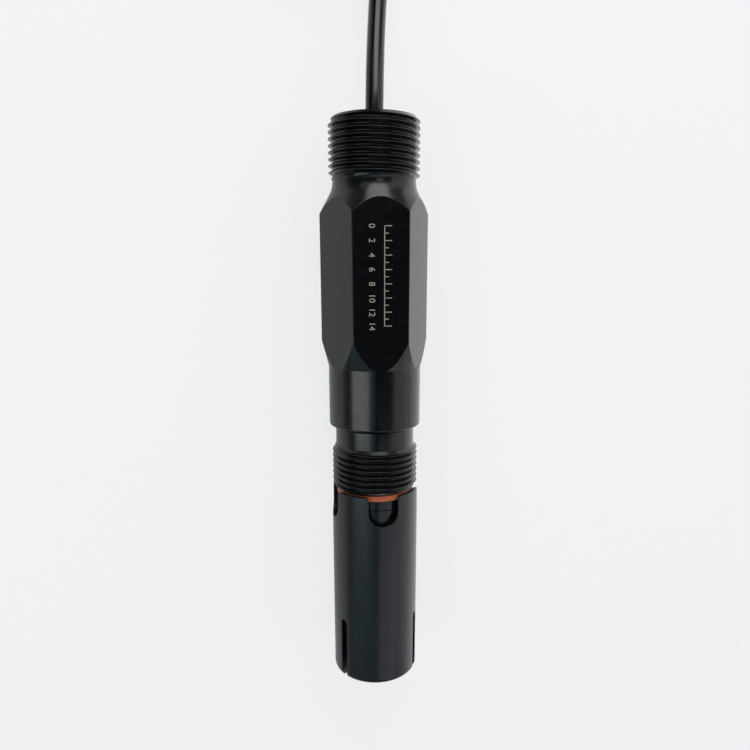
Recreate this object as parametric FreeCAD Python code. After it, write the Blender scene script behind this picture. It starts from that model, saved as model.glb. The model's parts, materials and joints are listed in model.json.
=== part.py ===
import FreeCAD, Part
import math
import os

# An inline pH sensor with a cable, lying on a table. Millimetres.
# The sensor's axis runs along Y, with the cable end at +Y and the guard end at -Y.
# Stations are distances along the axis from the top rim, where the cable leaves.
# Angles round the axis start at +Z, straight up, and turn towards +X.

# Pipe threads at both ends, drawn as plain cylinders at their crest size
thread_major_d = 26.44
thread_depth = 1.16
upper_thread_length = 16.85
lower_thread_length = 14.0
thread_chamfer = 0.9

# Body housing outside
neck_d = 24.2
upper_neck_length = 2.1
upper_cone_length = 7.05
neck_fillet_radius = 7.6
hex_turned_d = 32.0
across_flats = 27.8
hex_length = 36.6
lower_cone_length = 7.7
barrel_d = 28.0
barrel_length = 18.3
barrel_edge_radius = 0.7

# Body housing inside
gland_pocket_d = 17.0
gland_pocket_depth = 16.0
cable_web = 3.0
cable_hole_clearance = 0.5
cavity_d = 21.2
cavity_step = 0.25
socket_d = 22.8

# Electrode holder
lower_neck_length = 6.1
spigot_clearance = 0.05
spigot_length = 20.0
seal_width = 2.3
seal_depth = 1.15
seal_from_top = 5.0
seal_spacing = 7.0
seal_squeeze_gap = 0.02
collar_d = 22.6
collar_length = 15.4
collar_groove_at = 4.7
collar_groove_width = 0.4
collar_groove_depth = 0.35
nose_d = 21.0
nose_length = 10.0
nose_step = 0.8
nose_chamfer = 1.2
nose_wall = 7.0
chamber_d = 18.4

# Sealing ring under the lower thread
ring_height = 1.9
ring_step = 0.3
ring_chamfer = 0.4

# Guard over the glass
guard_rim_gap = 0.2
guard_clearance = 0.35
guard_wall = 1.85
guard_length = 63.2
guard_end_wall = 2.5
guard_edge_radius = 1.8
guard_mouth_clearance = 0.3
notch_count = 4
notch_width = 9.1
notch_depth = 9.4
notch_flare = 0.9
notch_angle = 4.2
slot_count = 3
slot_width = 2.3
slot_length = 19.5
slot_inner_radius = 4.5
slot_angle = notch_angle + 60.0

# Glass electrode
glass_d = 11.0
glass_wall = 0.8
glass_top_above_holder = 6.5
bulb_d = 11.6
bulb_wall = 0.6
bulb_reach = 24.0
cap_head = 3.0
cap_plug = 5.0
inner_wire_d = 1.0
inner_wire_tip_d = 2.4
inner_wire_tip = 9.0
wire_clearance = 0.03
glass_clearance = 0.05

# Pieces round the glass, on a circle about the axis
ring_of_holes_radius = 7.5
probe_d = 3.0
probe_reach = 15.0
probe_top_above_holder = 4.5
probe_angle = 90.0
junction_d = 3.0
junction_proud = 0.3
junction_inside = 1.5
junction_angle = 180.0
reference_wire_d = 0.8
reference_tip_d = 1.8
reference_tip = 8.0
reference_wire_length = 52.0
reference_top_above_holder = 3.5
reference_angle = 270.0
chamber_plug_length = 5.0

# Circuit board and its carrier
board_gap_from_web = 5.5
board_length = 31.0
board_edge_gap = 0.6
board_thickness = 1.6
carrier_clearance = 0.2
carrier_wall = 1.0
connector_size = (11.0, 5.5, 4.5)
connector_inset = 0.5
isolator_size = (12.0, 7.0, 3.2)
processor_size = (7.0, 7.0, 1.6)
amplifier_size = (4.0, 5.0, 1.6)
chip_gap = 2.0
processor_off_centre = 4.0
chips_apart = 9.0
lead_d = 1.0
lead_on_board = 4.0
lead_inset = 3.0
lead_bend_from_board = 1.5
core_pitch = 1.1
connector_pitch = 2.6

# Cable gland in the top
nut_recess = 0.8
nut_length = 6.7
nut_clearance = 0.05
nut_bore_clearance = 0.45
nut_mouth_flare = 1.4
nut_key_count = 4
nut_key_d = 2.2
nut_key_depth = 2.0
washer_thickness = 0.8
bush_clearance = 0.3
grip_clearance = 0.02

# Cable
cable_d = 5.2
cable_length = 5000.0
core_d = 0.76
cable_starts_past_web = 0.5
hank_columns = 3
hank_layers = 5
hank_pitch = 5.25
hank_fold_radius = 15.6
hank_length = 100.0
hank_stub = 18.0
hank_bevel = 1.5
tail_gap = 0.05
tie_width = 4.5
tie_thickness = 0.8
tie_clearance = 0.2
tie_head = (4.0, 5.4, 3.2)

# Far end of the cable
sleeve_d = 6.4
sleeve_length = 22.0
sleeve_overlap = 7.0
sleeve_chamfer = 0.4
end_core_d = 1.5
end_core_pitch = 1.6
end_core_length = 32.0
end_core_spread = 2.0
end_core_gap = 0.15
ferrule_d = 2.0
ferrule_length = 9.0
end_colours = ("red", "black", "green", "white")

# The guard slips over the collar, and the ring fills the step in the guard's mouth
guard_bore_d = collar_d + 2 * guard_clearance
guard_d = guard_bore_d + 2 * guard_wall
ring_d = guard_bore_d + 2 * ring_step

# The board reaches nearly across its cavity
board_width = cavity_d - 2 * board_edge_gap

# Stations along the axis
upper_thread_end = upper_thread_length
cone_start = upper_thread_end + upper_neck_length
hex_start = cone_start + upper_cone_length
hex_end = hex_start + hex_length
barrel_start = hex_end + lower_cone_length
barrel_end = barrel_start + barrel_length
lower_thread_start = barrel_end + lower_neck_length
lower_thread_end = lower_thread_start + lower_thread_length
guard_rim = lower_thread_end + guard_rim_gap
guard_end = guard_rim + guard_length
web_end = gland_pocket_depth + cable_web
holder_top = barrel_end - spigot_length
cavity_end = holder_top - cavity_step
collar_end = lower_thread_end + collar_length
nose_end = collar_end + nose_length
chamber_end = nose_end - nose_wall
glass_top = holder_top - glass_top_above_holder
bulb_centre = nose_end + bulb_reach - bulb_d / 2
board_start = web_end + board_gap_from_web
board_end = board_start + board_length

# The frame: the middle of the sensor's length is over the origin, and it lies on z = 0
top_y = guard_end / 2
axis_z = barrel_d / 2
ALONG = FreeCAD.Vector(0, 1, 0)
DOWN_THE_AXIS = FreeCAD.Vector(0, -1, 0)
UP = FreeCAD.Vector(0, 0, 1)

# The hank's turns, from the innermost fold out and from the table up
hank_outer_turn = hank_fold_radius + hank_pitch * (hank_columns - 1)
hank_outer_radius = hank_outer_turn + cable_d / 2
hank_inner_radius = hank_fold_radius - cable_d / 2
hank_top_turn = cable_d / 2 + hank_pitch * (hank_layers - 1)
hank_height = hank_top_turn + cable_d / 2

# The cable's route from inside the gland to the hank, as (x, distance past the rim, z)
run_route = [
    (0.0, -(web_end + cable_starts_past_web), axis_z),
    (0.0, 7.0, axis_z),
    (2.4, 33.0, 3.6),
    (3.6, 44.0, cable_d / 2),
    (13.2, 65.0, cable_d / 2),
    (13.2, 77.0, cable_d / 2),
]
# The hank lies past the top end, with its first turn in line with the run
hank_x = run_route[-1][0] - hank_outer_turn
near_fold = run_route[-1][1] + hank_stub
far_fold = near_fold + hank_length
# The far end leaves the top of the innermost turn and lies on the hank
tail_x = run_route[-1][0] - hank_pitch
tail_z = hank_height + sleeve_d / 2 + tail_gap
tail_route = [
    (hank_x + hank_fold_radius, near_fold, hank_top_turn),
    (hank_x + hank_fold_radius, near_fold + 8.0, hank_top_turn),
    (tail_x, near_fold + 30.0, tail_z),
    (tail_x, near_fold + 42.0, tail_z),
]


def place(station, radius=0.0, angle=0.0):
    """A point at a station, at a radius and an angle round the axis."""
    turn = math.radians(angle)
    return FreeCAD.Vector(
        radius * math.sin(turn), top_y - station, axis_z + radius * math.cos(turn)
    )


def turned(outline):
    """A solid turned about the axis from (station, radius) corners."""
    corners = [place(station, radius, 90) for station, radius in outline]
    face = Part.Face(Part.makePolygon(corners + corners[:1]))
    return face.revolve(place(0), ALONG, 360)


def rod(start, end, diameter, radius=0.0, angle=0.0):
    """A round bar along the axis between two stations."""
    return Part.makeCylinder(
        diameter / 2, end - start, place(start, radius, angle), DOWN_THE_AXIS
    )


def about_axis(shape, angle):
    """The shape turned round the axis by an angle."""
    moved = shape.copy()
    moved.rotate(place(0), ALONG, angle)
    return moved


def round_edges(shape, radius, station, diameter):
    """The shape with its circular edge at a station and diameter rounded."""
    wanted = [
        edge
        for edge in shape.Edges
        if edge.Curve.TypeId == "Part::GeomCircle"
        and abs(edge.Curve.Radius - diameter / 2) < 1e-4
        and abs(edge.Curve.Center.y - place(station).y) < 1e-4
    ]
    return shape.makeFillet(radius, wanted)


def wire_between(points, diameter):
    """A thin lead of straight lengths with round joints."""
    pieces = [Part.makeSphere(diameter / 2, joint) for joint in points[1:-1]]
    for start, end in zip(points, points[1:]):
        length = end - start
        pieces.append(Part.makeCylinder(diameter / 2, length.Length, start, length))
    if len(pieces) == 1:
        return pieces[0]
    return pieces[0].multiFuse(pieces[1:]).removeSplitter()


def body_housing():
    """The turned housing with six milled flats, a gland pocket and a board cavity."""
    crest = thread_major_d / 2
    runout = crest - neck_d / 2
    shape = turned(
        [
            (0, 0),
            (0, crest - thread_chamfer),
            (thread_chamfer, crest),
            (upper_thread_end - runout, crest),
            (upper_thread_end, neck_d / 2),
            (cone_start, neck_d / 2),
            (hex_start, hex_turned_d / 2),
            (hex_end, hex_turned_d / 2),
            (barrel_start, barrel_d / 2),
            (barrel_end, barrel_d / 2),
            (barrel_end, 0),
        ]
    )
    shape = round_edges(shape, barrel_edge_radius, barrel_end, barrel_d)
    shape = round_edges(shape, neck_fillet_radius, cone_start, neck_d)
    milled = barrel_start - upper_thread_end
    flat = Part.makeBox(
        hex_turned_d,
        milled,
        hex_turned_d,
        FreeCAD.Vector(-hex_turned_d / 2, top_y - barrel_start, axis_z + across_flats / 2),
    )
    for side in range(6):
        shape = shape.cut(about_axis(flat, 60.0 * side))
    shape = shape.cut(rod(0, gland_pocket_depth, gland_pocket_d))
    shape = shape.cut(rod(0, cavity_end, cable_d + 2 * cable_hole_clearance))
    shape = shape.cut(rod(web_end, cavity_end, cavity_d))
    return shape.cut(rod(cavity_end, barrel_end, socket_d))


def hole_at(start, end, diameter, angle):
    """A drill on the circle of holes round the glass."""
    return rod(start, end, diameter, ring_of_holes_radius, angle)


def seal_stations():
    """The middles of the two seal grooves on the holder's spigot."""
    first = holder_top + seal_from_top
    return (first, first + seal_spacing)


def electrode_holder():
    """The lower neck, thread and collar, with a spigot above and a nose below."""
    crest = thread_major_d / 2
    runout = crest - neck_d / 2
    root = crest - thread_depth
    spigot = socket_d / 2 - spigot_clearance
    outline = [(holder_top, 0), (holder_top, spigot)]
    for middle in seal_stations():
        start = middle - seal_width / 2
        end = middle + seal_width / 2
        bottom = spigot - seal_depth
        outline += [(start, spigot), (start, bottom), (end, bottom), (end, spigot)]
    groove = lower_thread_end + collar_groove_at
    collar = collar_d / 2
    groove_bottom = collar - collar_groove_depth
    outline += [
        (barrel_end, spigot),
        (barrel_end, neck_d / 2),
        (lower_thread_start, neck_d / 2),
        (lower_thread_start + runout, crest),
        (lower_thread_end - thread_depth, crest),
        (lower_thread_end, root),
        (lower_thread_end, collar),
        (groove, collar),
        (groove, groove_bottom),
        (groove + collar_groove_width, groove_bottom),
        (groove + collar_groove_width, collar),
        (collar_end, collar),
        (collar_end + nose_step, nose_d / 2),
        (nose_end - nose_chamfer, nose_d / 2),
        (nose_end, nose_d / 2 - nose_chamfer),
        (nose_end, 0),
    ]
    shape = turned(outline).cut(rod(holder_top, chamber_end, chamber_d))
    shape = shape.cut(rod(chamber_end, nose_end, glass_d + 2 * glass_clearance))
    fit = 2 * wire_clearance
    shape = shape.cut(hole_at(chamber_end, nose_end, probe_d + fit, probe_angle))
    return shape.cut(hole_at(chamber_end, nose_end, junction_d + fit, junction_angle))


def holder_seal(middle):
    """A rubber ring in a spigot groove, squeezed against the socket."""
    outer = socket_d / 2 - seal_squeeze_gap
    inner = socket_d / 2 - spigot_clearance - seal_depth + seal_squeeze_gap
    centre = (outer + inner) / 2
    half = (outer - inner) / 2
    flat = half * math.tan(math.radians(22.5))
    return turned(
        [
            (middle - flat, inner),
            (middle + flat, inner),
            (middle + half, centre - flat),
            (middle + half, centre + flat),
            (middle + flat, outer),
            (middle - flat, outer),
            (middle - half, centre + flat),
            (middle - half, centre - flat),
        ]
    )


def sealing_ring():
    """The soft ring that fills the guard's mouth under the lower thread."""
    end = lower_thread_end + ring_height
    inner = collar_d / 2 + wire_clearance
    outer = ring_d / 2
    return turned(
        [
            (lower_thread_end, inner),
            (lower_thread_end, outer),
            (end - ring_chamfer, outer),
            (end, outer - ring_chamfer),
            (end, inner),
        ]
    )


def notch_cutter():
    """A U-shaped cutter through the guard's wall at its rim, with flared corners."""
    half = notch_width / 2
    wide = half + notch_flare
    above = guard_rim - 1.0
    bend = guard_rim + notch_flare
    straight = guard_rim + notch_depth - half
    inset = notch_flare * (1 - math.sqrt(0.5))

    def at(x, station):
        return FreeCAD.Vector(x, top_y - station, axis_z)

    def corner(side):
        points = (
            at(side * wide, guard_rim),
            at(side * (half + inset), guard_rim + inset),
            at(side * half, bend),
        )
        return Part.Arc(*points)

    bottom = Part.Arc(at(half, straight), at(0, straight + half), at(-half, straight))
    edges = [
        Part.LineSegment(at(-wide, above), at(wide, above)),
        Part.LineSegment(at(wide, above), at(wide, guard_rim)),
        corner(1),
        Part.LineSegment(at(half, bend), at(half, straight)),
        bottom,
        Part.LineSegment(at(-half, straight), at(-half, bend)),
        corner(-1),
        Part.LineSegment(at(-wide, guard_rim), at(-wide, above)),
    ]
    outline = Part.Wire([edge.toShape() for edge in edges])
    return Part.Face(outline).extrude(UP * guard_d)


def slot_cutter():
    """A narrow cutter through the guard's wall that runs out through its end."""
    top = guard_end - slot_length
    lowest = axis_z + slot_inner_radius
    long_slot = Part.makeBox(
        slot_width,
        slot_length + 1.0,
        guard_d,
        FreeCAD.Vector(-slot_width / 2, top_y - guard_end - 1.0, lowest),
    )
    head = Part.makeCylinder(
        slot_width / 2, guard_d, FreeCAD.Vector(0, top_y - top, lowest), UP
    )
    return long_slot.fuse(head)


def guard():
    """The cup that covers the glass, notched at its rim and slotted at its end."""
    shape = rod(guard_rim, guard_end, guard_d)
    shape = round_edges(shape, guard_edge_radius, guard_end, guard_d)
    mouth_depth = lower_thread_end + ring_height + guard_mouth_clearance - guard_rim
    mouth_d = ring_d + 2 * guard_mouth_clearance
    shape = shape.cut(rod(guard_rim, guard_rim + mouth_depth, mouth_d))
    shape = shape.cut(rod(guard_rim, guard_end - guard_end_wall, guard_bore_d))
    for number in range(notch_count):
        angle = notch_angle + 360.0 * number / notch_count
        shape = shape.cut(about_axis(notch_cutter(), angle))
    for number in range(slot_count):
        angle = slot_angle + 360.0 * number / slot_count
        shape = shape.cut(about_axis(slot_cutter(), angle))
    return shape


def bulb_half(radius, tube_radius, top):
    """The half section of a tube from its top to the tip of the bulb it ends in."""
    joint = bulb_centre - math.sqrt(radius**2 - tube_radius**2)
    joint_angle = math.acos((bulb_centre - joint) / radius)
    middle = (joint_angle + math.pi) / 2
    arc = Part.Arc(
        place(joint, tube_radius, 90),
        place(bulb_centre - radius * math.cos(middle), radius * math.sin(middle), 90),
        place(bulb_centre + radius),
    )
    edges = [
        Part.LineSegment(place(top), place(top, tube_radius, 90)),
        Part.LineSegment(place(top, tube_radius, 90), place(joint, tube_radius, 90)),
        arc,
        Part.LineSegment(place(bulb_centre + radius), place(top)),
    ]
    return Part.Face(Part.Wire([edge.toShape() for edge in edges]))


def electrode_glass():
    """The glass stem and its pH-sensitive bulb, blown as one piece."""
    outside = bulb_half(bulb_d / 2, glass_d / 2, glass_top).revolve(place(0), ALONG, 360)
    bore = glass_d / 2 - glass_wall
    inside = bulb_half(bulb_d / 2 - bulb_wall, bore, glass_top)
    return outside.cut(inside.revolve(place(0), ALONG, 360))


def electrode_cap():
    """The cap that plugs the top of the stem and holds the inner wire."""
    head = rod(glass_top - cap_head, glass_top, glass_d)
    plug_d = glass_d - 2 * glass_wall - 2 * glass_clearance
    shape = head.fuse(rod(glass_top, glass_top + cap_plug, plug_d))
    bottom = glass_top + cap_plug
    return shape.cut(rod(glass_top, bottom, inner_wire_d + 2 * wire_clearance))


def inner_wire():
    """The silver wire in the glass, with its thicker coated tip in the bulb."""
    end = bulb_centre - wire_clearance
    shape = rod(glass_top, end, inner_wire_d)
    return shape.fuse(rod(end - inner_wire_tip, end, inner_wire_tip_d))


def chamber_plug():
    """The plug that closes the reference chamber round the glass, probe and wire."""
    end = holder_top + chamber_plug_length
    shape = rod(holder_top, end, chamber_d - 2 * wire_clearance)
    shape = shape.cut(rod(holder_top, end, glass_d + 2 * glass_clearance))
    fit = 2 * wire_clearance
    shape = shape.cut(hole_at(holder_top, end, probe_d + fit, probe_angle))
    return shape.cut(hole_at(holder_top, end, reference_wire_d + fit, reference_angle))


def reference_junction():
    """The porous pin that joins the reference chamber to the liquid outside."""
    start = chamber_end - junction_inside
    return hole_at(start, nose_end + junction_proud, junction_d, junction_angle)


def reference_wire():
    """The reference wire in the chamber, with its coated tip."""
    start = holder_top - reference_top_above_holder
    end = start + reference_wire_length
    shape = hole_at(start, end, reference_wire_d, reference_angle)
    return shape.fuse(hole_at(end - reference_tip, end, reference_tip_d, reference_angle))


def temperature_probe():
    """The metal tube of the temperature probe, closed by a round tip."""
    start = holder_top - probe_top_above_holder
    end = nose_end + probe_reach - probe_d / 2
    shape = hole_at(start, end, probe_d, probe_angle)
    tip = Part.makeSphere(probe_d / 2, place(end, ring_of_holes_radius, probe_angle))
    return shape.fuse(tip).removeSplitter()


def block(x, station, height, size):
    """A box on the board: its middle across, its upper station, its foot's height."""
    width, length, tall = size
    corner = FreeCAD.Vector(x - width / 2, top_y - station - length, axis_z + height)
    return Part.makeBox(width, length, tall, corner)


def circuit_board():
    """The board, lying on the rims of its carrier."""
    return block(0, board_start, 0, (board_width, board_length, board_thickness))


def board_carrier():
    """The half tube that carries the board in the housing."""
    outer = cavity_d - 2 * carrier_clearance
    shape = rod(board_start, board_end, outer)
    shape = shape.cut(rod(board_start, board_end, outer - 2 * carrier_wall))
    upper_half = block(0, board_start, 0, (cavity_d, board_length, cavity_d))
    return shape.cut(upper_half)


def board_connector():
    """The socket on the board that takes the cable's cores."""
    return block(0, board_start + connector_inset, board_thickness, connector_size)


def board_chips():
    """The processor, the amplifier and the isolated supply on the board."""
    foot = board_thickness
    first = board_start + connector_inset + connector_size[1] + chip_gap
    second = first + isolator_size[1] + chip_gap
    beside = second + (processor_size[1] - amplifier_size[1]) / 2
    across = chips_apart - processor_off_centre
    isolator = block(0, first, foot, isolator_size)
    processor = block(-processor_off_centre, second, foot, processor_size)
    amplifier = block(across, beside, foot, amplifier_size)
    return Part.makeCompound([isolator, processor, amplifier])


def signal_leads():
    """The leads from the glass, the probe and the reference wire to the board."""
    height = board_thickness + lead_d / 2 + wire_clearance
    last = board_end - lead_on_board
    side = board_width / 2 - lead_inset
    bend = board_end + lead_bend_from_board

    def on_board(x, station):
        return FreeCAD.Vector(x, top_y - station, axis_z + height)

    gap = lead_d / 2 + wire_clearance
    cap_top = glass_top - cap_head
    probe_top = holder_top - probe_top_above_holder
    wire_top = holder_top - reference_top_above_holder
    from_glass = [on_board(0, cap_top - gap), on_board(0, last)]
    from_probe = [
        place(probe_top - gap, ring_of_holes_radius, probe_angle),
        on_board(side, bend),
        on_board(side, last),
    ]
    from_reference = [
        place(wire_top - gap, ring_of_holes_radius, reference_angle),
        on_board(-side, bend),
        on_board(-side, last),
    ]
    routes = (from_glass, from_probe, from_reference)
    return Part.makeCompound([wire_between(route, lead_d) for route in routes])


def cable_leads():
    """The cable's four cores, fanned out from its end to the board's socket."""
    start = web_end + cable_starts_past_web + core_d / 2 + wire_clearance
    end = board_start + connector_inset - core_d / 2 - wire_clearance
    height = board_thickness + connector_size[2] / 2
    cores = []
    for place_in_row in (-1.5, -0.5, 0.5, 1.5):
        near = FreeCAD.Vector(place_in_row * core_pitch, top_y - start, axis_z)
        x = place_in_row * connector_pitch
        far = FreeCAD.Vector(x, top_y - end, axis_z + height)
        cores.append(wire_between([near, far], core_d))
    return Part.makeCompound(cores)


def gland_nut():
    """The hollow screw that squeezes the bush round the cable."""
    outer = gland_pocket_d / 2 - nut_clearance
    bore = cable_d / 2 + nut_bore_clearance
    end = nut_recess + nut_length
    shape = turned(
        [
            (nut_recess, bore + nut_mouth_flare),
            (nut_recess, outer - 0.5),
            (nut_recess + 0.5, outer),
            (end, outer),
            (end, bore),
            (nut_recess + nut_mouth_flare, bore),
        ]
    )
    middle = (outer + bore + nut_mouth_flare) / 2
    for number in range(nut_key_count):
        angle = 45.0 + 360.0 * number / nut_key_count
        key = rod(nut_recess, nut_recess + nut_key_depth, nut_key_d, middle, angle)
        shape = shape.cut(key)
    return shape


def gland_washer():
    """The slip washer between the nut and the bush."""
    start = nut_recess + nut_length
    end = start + washer_thickness
    shape = rod(start, end, gland_pocket_d - 2 * bush_clearance)
    return shape.cut(rod(start, end, cable_d + 2 * nut_bore_clearance))


def gland_bush():
    """The rubber bush that grips the cable."""
    start = nut_recess + nut_length + washer_thickness
    shape = rod(start, gland_pocket_depth, gland_pocket_d - 2 * bush_clearance)
    return shape.cut(rod(start, gland_pocket_depth, cable_d + 2 * grip_clearance))


def table_point(point):
    """A route's point, from its distance past the rim, in the part's frame."""
    x, past_rim, z = point
    return FreeCAD.Vector(x, top_y + past_rim, z)


def tube(name, route, across=cable_d):
    """A tube along straight runs joined by arcs as large as the runs allow."""
    points = [table_point(point) for point in route]
    edges = []
    start = points[0]
    for before, corner, after in zip(points, points[1:], points[2:]):
        back = before - corner
        ahead = after - corner
        half_turn = (math.pi - back.getAngle(ahead)) / 2
        reach = 0.45 * min(back.Length, ahead.Length)
        radius = reach / math.tan(half_turn)
        print(f"{name}: radius {radius:.1f} at a turn of {math.degrees(2 * half_turn):.1f}")
        back.normalize()
        ahead.normalize()
        first = corner + back * reach
        last = corner + ahead * reach
        inward = (back + ahead).normalize()
        to_centre = math.hypot(reach, radius)
        middle = corner + inward * (to_centre - radius)
        edges.append(Part.LineSegment(start, first).toShape())
        edges.append(Part.Arc(first, middle, last).toShape())
        start = last
    edges.append(Part.LineSegment(start, points[-1]).toShape())
    path = Part.Wire(edges)
    section = Part.Wire(Part.makeCircle(across / 2, points[0], points[1] - points[0]))
    solid = path.makePipeShell([section], True, False)
    expected = math.pi * (across / 2) ** 2 * path.Length
    print(f"{name}: length {path.Length:.1f}, volume {solid.Volume:.0f} of {expected:.0f}")
    return solid


def fold_centre(past_rim, z=0.0):
    """The middle of one of the hank's folds at a height over the table."""
    return table_point((hank_x, past_rim, z))


def tie_frame(fold, angle, width, clearance):
    """The outside and the opening of a tie round the hank's section at a fold."""
    inner = hank_inner_radius - clearance
    outer = hank_outer_radius + clearance
    wall = tie_thickness - clearance
    bend = cable_d / 2 - clearance

    def rounded_box(start, foot, across, tall, radius):
        corner = fold_centre(fold, foot) + FreeCAD.Vector(start, -width / 2, 0)
        box = Part.makeBox(across, width, tall, corner)
        rims = [edge for edge in box.Edges if abs(edge.Length - width) < 1e-6]
        box = box.makeFillet(radius, rims)
        box.rotate(fold_centre(fold), UP, angle)
        return box

    across = outer - inner
    tall = hank_height - tie_thickness + wire_clearance
    outside = rounded_box(inner - wall, 0, across + 2 * wall, hank_height + wall, bend + wall)
    return outside, rounded_box(inner, tie_thickness, across, tall, bend)


def hank_tie(fold, angle):
    """A strap round the hank's turns, with its head on the outside."""
    outside, opening = tie_frame(fold, angle, tie_width, tie_clearance)
    across, width, tall = tie_head
    wall = hank_outer_radius + tie_thickness - 0.1
    corner = fold_centre(fold, hank_height / 2) + FreeCAD.Vector(wall, -width / 2, -tall / 2)
    head = Part.makeBox(across, width, tall, corner)
    head.rotate(fold_centre(fold), UP, angle)
    return outside.cut(opening).fuse(head)


def long_ring_block(radius):
    """A block with two straight sides and a round end at each fold."""
    left = FreeCAD.Vector(-radius, 0, 0)
    near, far = fold_centre(near_fold), fold_centre(far_fold)
    corners = (near + left, near - left, far - left, far + left)
    edges = [
        Part.Arc(corners[0], near - ALONG * radius, corners[1]).toShape(),
        Part.LineSegment(corners[1], corners[2]).toShape(),
        Part.Arc(corners[2], far + ALONG * radius, corners[3]).toShape(),
        Part.LineSegment(corners[3], corners[0]).toShape(),
    ]
    return Part.Face(Part.Wire(edges)).extrude(UP * hank_height)


def cable_hank(ties):
    """The outer shape of the wound turns, with the run's end and the tail's bed."""
    shape = long_ring_block(hank_outer_radius).cut(long_ring_block(hank_inner_radius))
    flat = [edge for edge in shape.Edges if edge.BoundBox.ZLength < 1e-6]
    shape = shape.makeChamfer(hank_bevel, flat)
    start = table_point(run_route[-1])
    shape = shape.fuse(Part.makeCylinder(cable_d / 2, hank_stub, start, ALONG))
    for fold, angle in ties:
        outside, opening = tie_frame(fold, angle, tie_width + 2 * tie_clearance, tie_clearance)
        shape = shape.cut(outside.cut(opening))
    return shape.cut(tube("tail_bed", tail_route, cable_d + 2 * tail_gap))


def past_tail(distance, x=0.0):
    """A point past the tail's last point, off its centre line by x."""
    return table_point(tail_route[-1]) + FreeCAD.Vector(x, distance, 0)


def end_sleeve():
    """The shrunk sleeve that closes the cable's jacket round its cores."""
    start = past_tail(-sleeve_overlap)
    shape = Part.makeCylinder(sleeve_d / 2, sleeve_length, start, ALONG)
    bore = Part.makeCylinder(cable_d / 2 + grip_clearance, sleeve_overlap, start, ALONG)
    rims = [edge for edge in shape.Edges if edge.Curve.TypeId == "Part::GeomCircle"]
    return shape.makeChamfer(sleeve_chamfer, rims).cut(bore)


def end_core_line(number):
    """The start and the end of a bare core, which drops to the hank as it fans out."""
    sideways = number - (len(end_colours) - 1) / 2
    sleeve_end = sleeve_length - sleeve_overlap
    start = past_tail(sleeve_end + end_core_gap, sideways * end_core_pitch)
    reach = end_core_length + ferrule_length
    drop = (ferrule_d - sleeve_d) / 2 * end_core_length / reach
    end = start + FreeCAD.Vector(sideways * end_core_spread, end_core_length, drop)
    return start, end


def end_core(number):
    """One insulated core, from the sleeve to its ferrule."""
    start, end = end_core_line(number)
    line = end - start
    return Part.makeCylinder(end_core_d / 2, line.Length, start, line)


def core_ferrules():
    """The crimped ferrules on the ends of the cores."""
    solids = []
    for number in range(len(end_colours)):
        start, end = end_core_line(number)
        line = (end - start).normalize()
        collar = Part.makeCylinder(ferrule_d / 2, ferrule_length / 3, end, line)
        pin = Part.makeCylinder(ferrule_d / 3, ferrule_length, end, line)
        solids.append(collar.fuse(pin))
    return Part.makeCompound(solids)


ties = {"hank_tie_near": (near_fold, 270.0), "hank_tie_far": (far_fold, 90.0)}
upper_seal, lower_seal = seal_stations()
nodes = {
    "body_housing": body_housing(),
    "electrode_holder": electrode_holder(),
    "holder_seal_upper": holder_seal(upper_seal),
    "holder_seal_lower": holder_seal(lower_seal),
    "sealing_ring": sealing_ring(),
    "guard": guard(),
    "electrode_glass": electrode_glass(),
    "electrode_cap": electrode_cap(),
    "inner_wire": inner_wire(),
    "chamber_plug": chamber_plug(),
    "reference_junction": reference_junction(),
    "reference_wire": reference_wire(),
    "temperature_probe": temperature_probe(),
    "circuit_board": circuit_board(),
    "board_carrier": board_carrier(),
    "board_connector": board_connector(),
    "board_chips": board_chips(),
    "signal_leads": signal_leads(),
    "cable_leads": cable_leads(),
    "gland_nut": gland_nut(),
    "gland_washer": gland_washer(),
    "gland_bush": gland_bush(),
    "cable_run": tube("cable_run", run_route),
    "cable_hank": cable_hank(ties.values()),
    "cable_tail": tube("cable_tail", tail_route),
    "end_sleeve": end_sleeve(),
    "core_ferrules": core_ferrules(),
}
for name, (fold, angle) in ties.items():
    nodes[name] = hank_tie(fold, angle)
for number, colour in enumerate(end_colours):
    nodes[f"core_{colour}"] = end_core(number)

middle_turn = (hank_fold_radius + hank_outer_turn) / 2
a_turn = 2 * math.pi * middle_turn + 2 * hank_length
print(f"cable in the hank: {hank_columns * hank_layers * a_turn:.0f} of {cable_length:.0f}")

os.makedirs("parts", exist_ok=True)
for name, shape in nodes.items():
    shape.exportStep(f"parts/{name}.step")
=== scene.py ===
# An inline pH sensor with its cable, lying on a pale table under soft studio lamps.
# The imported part's frame is in metres, and the sensor's axis runs along Y in it.
# Sizes in the classes below are millimetres, and stations are distances down the axis
# from the top rim, where the cable leaves. Angles start at +Z and turn towards +X.

import json
import logging
import math
from collections.abc import Callable
from dataclasses import dataclass
from enum import Enum
from functools import partial

import bmesh
import bpy
from bpy.types import Material, Node, NodeSocket, NodeTree, Object
from mathutils import Matrix, Vector

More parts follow.
